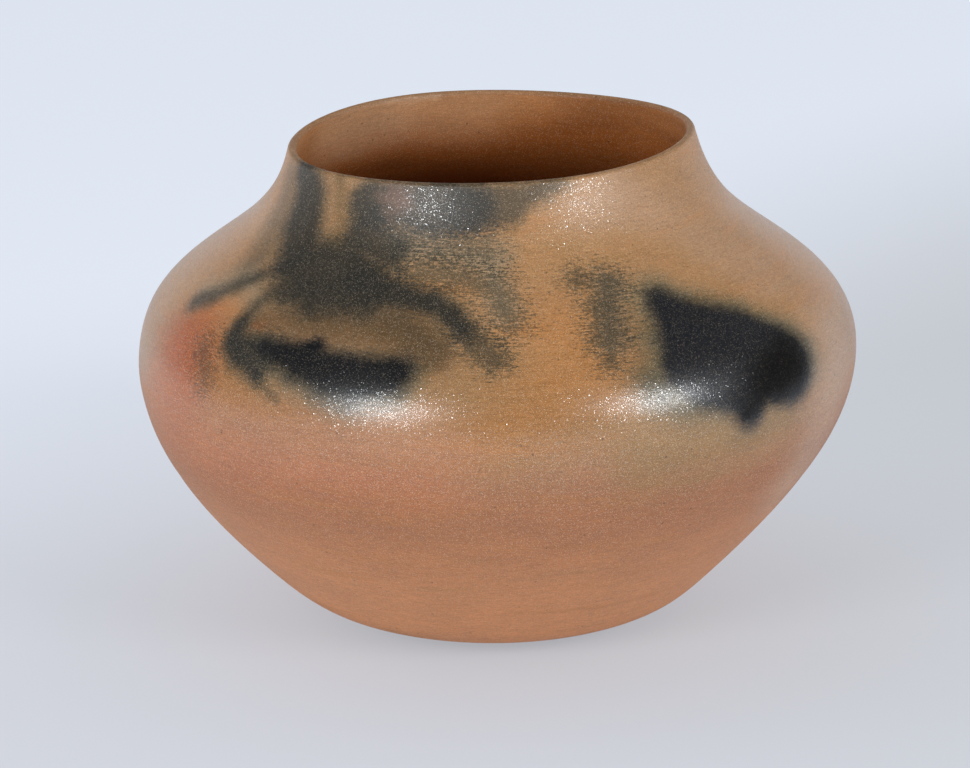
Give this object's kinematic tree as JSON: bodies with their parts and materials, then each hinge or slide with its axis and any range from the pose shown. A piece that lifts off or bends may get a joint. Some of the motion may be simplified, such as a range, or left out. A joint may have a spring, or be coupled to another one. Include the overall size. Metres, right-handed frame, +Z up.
{
  "type": "pottery jar",
  "caption": "Wide-bellied, hand-built clay jar with a short flared neck, an open round mouth, a thin rounded lip and a small flat foot.",
  "frame": {"origin": "centre of the flat foot, on the surface that the jar stands on", "axes": "+Z up through the mouth; -Y points at the side with the fire clouds; +X is to the right when that side is faced"},
  "size_m": [0.2018, 0.2018, 0.1377],
  "materials": {
    "micaceous_clay": "unglazed low-fired clay with mica flecks, burnished on the upper half, with dark smoke clouds"
  },
  "bodies": {
    "root": {"base_bowl": "micaceous_clay", "lower_wall_coil": "micaceous_clay", "belly_coil": "micaceous_clay", "lower_shoulder_coil": "micaceous_clay", "upper_shoulder_coil": "micaceous_clay", "lower_neck_coil": "micaceous_clay", "upper_neck_coil": "micaceous_clay", "rim_coil": "micaceous_clay"}
  },
  "joints": []
}
